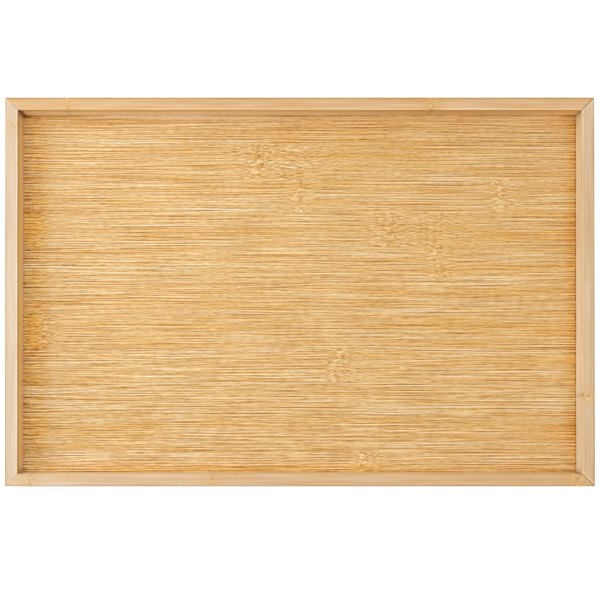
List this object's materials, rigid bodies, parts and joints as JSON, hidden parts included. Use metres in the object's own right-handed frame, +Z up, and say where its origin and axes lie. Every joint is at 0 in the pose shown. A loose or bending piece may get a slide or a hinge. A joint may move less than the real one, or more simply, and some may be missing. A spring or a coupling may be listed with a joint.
{
  "type": "tray",
  "caption": "Shallow rectangular bamboo tray: a low mitred frame round a flat floor of edge-glued strips, for carrying, serving or grouping small things.",
  "frame": {"origin": "middle of the tray, on the surface that it stands on", "axes": "+X along the length to the right-hand rail, +Y from the front rail to the back rail, +Z up out of the tray"},
  "size_m": [0.35, 0.231, 0.02],
  "materials": {
    "rail_front": "bamboo, clear satin lacquer",
    "rail_back": "bamboo, clear satin lacquer",
    "rail_left": "pale bamboo, clear satin lacquer",
    "rail_right": "bamboo, clear satin lacquer",
    "base_bamboo": "carbonised flat-pressed bamboo strips, clear satin lacquer",
    "raw_bamboo": "raw bamboo, glued in"
  },
  "bodies": {
    "root": {"rail_front": "rail_front", "rail_back": "rail_back", "rail_left": "rail_left", "rail_right": "rail_right", "base_strip_01": "base_bamboo", "base_strip_02": "base_bamboo", "base_strip_03": "base_bamboo", "base_strip_04": "base_bamboo", "base_strip_05": "base_bamboo", "base_strip_06": "base_bamboo", "base_strip_07": "base_bamboo", "base_strip_08": "base_bamboo", "base_strip_09": "base_bamboo", "base_strip_10": "base_bamboo", "base_strip_11": "base_bamboo", "corner_spline_front_left": "raw_bamboo", "corner_spline_front_right": "raw_bamboo", "corner_spline_back_left": "raw_bamboo", "corner_spline_back_right": "raw_bamboo"}
  },
  "joints": []
}
